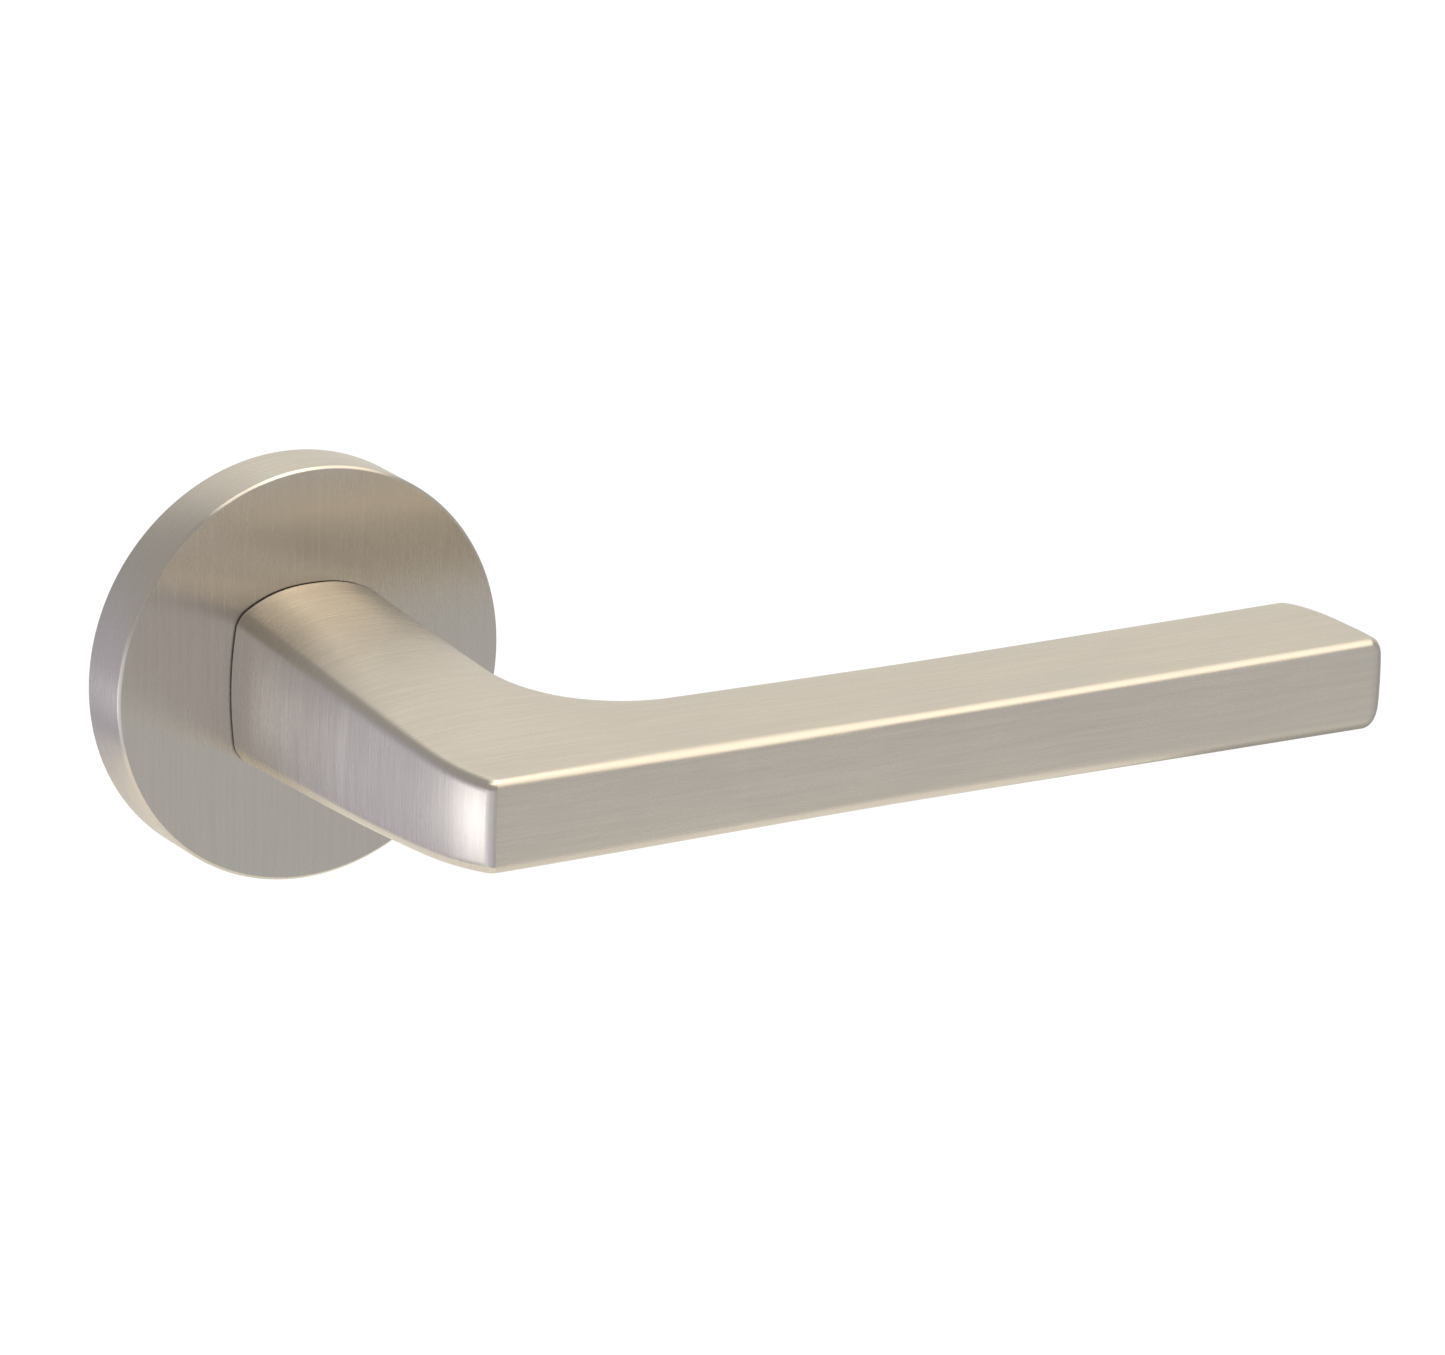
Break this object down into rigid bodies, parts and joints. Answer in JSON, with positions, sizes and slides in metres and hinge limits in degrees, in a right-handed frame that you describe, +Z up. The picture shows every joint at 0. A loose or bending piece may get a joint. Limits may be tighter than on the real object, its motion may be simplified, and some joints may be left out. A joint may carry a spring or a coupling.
{
  "type": "door lever handle",
  "caption": "Sprung door lever on a round rose: one cast neck and grip with a square spindle, a turned cover and a bolt-through base.",
  "frame": {"origin": "on the spindle axis, in the plane of the door face", "axes": "+X along the grip, +Y into the door along the spindle, +Z up"},
  "size_m": [0.1435, 0.0947, 0.052],
  "materials": {
    "satin_nickel": "brushed satin nickel plate",
    "die_cast_zinc": "as cast, tumbled",
    "zinc_plated_steel": "bright zinc plate",
    "spring_steel": "oiled",
    "blackened_steel": "black oxide",
    "black_nylon": "moulded",
    "natural_nylon": "moulded"
  },
  "bodies": {
    "rose": {"rose_cover": "satin_nickel", "inner_rose": "die_cast_zinc", "bearing_bush": "black_nylon", "rear_bush": "natural_nylon", "return_spring": "spring_steel", "spring_cover": "zinc_plated_steel", "cover_screw_1": "zinc_plated_steel", "cover_screw_2": "zinc_plated_steel", "cover_screw_3": "zinc_plated_steel", "cover_screw_4": "zinc_plated_steel", "threaded_insert_1": "zinc_plated_steel", "threaded_insert_2": "zinc_plated_steel", "snap_ring": "spring_steel"},
    "lever": {"lever": "satin_nickel", "grub_screw": "blackened_steel", "spindle": "zinc_plated_steel", "spring_driver": "zinc_plated_steel", "wave_washer": "spring_steel", "thrust_washer": "natural_nylon", "retaining_ring": "spring_steel"}
  },
  "joints": [
    {"name": "lever_turn", "type": "hinge", "parent": "rose", "child": "lever", "pos_m": [0, 0, 0], "axis": [0, 1, 0], "range_deg": [0, 45], "stiffness_Nm_per_rad": 1.2, "springref_deg": -22.92, "deforming": ["return_spring"]}
  ]
}
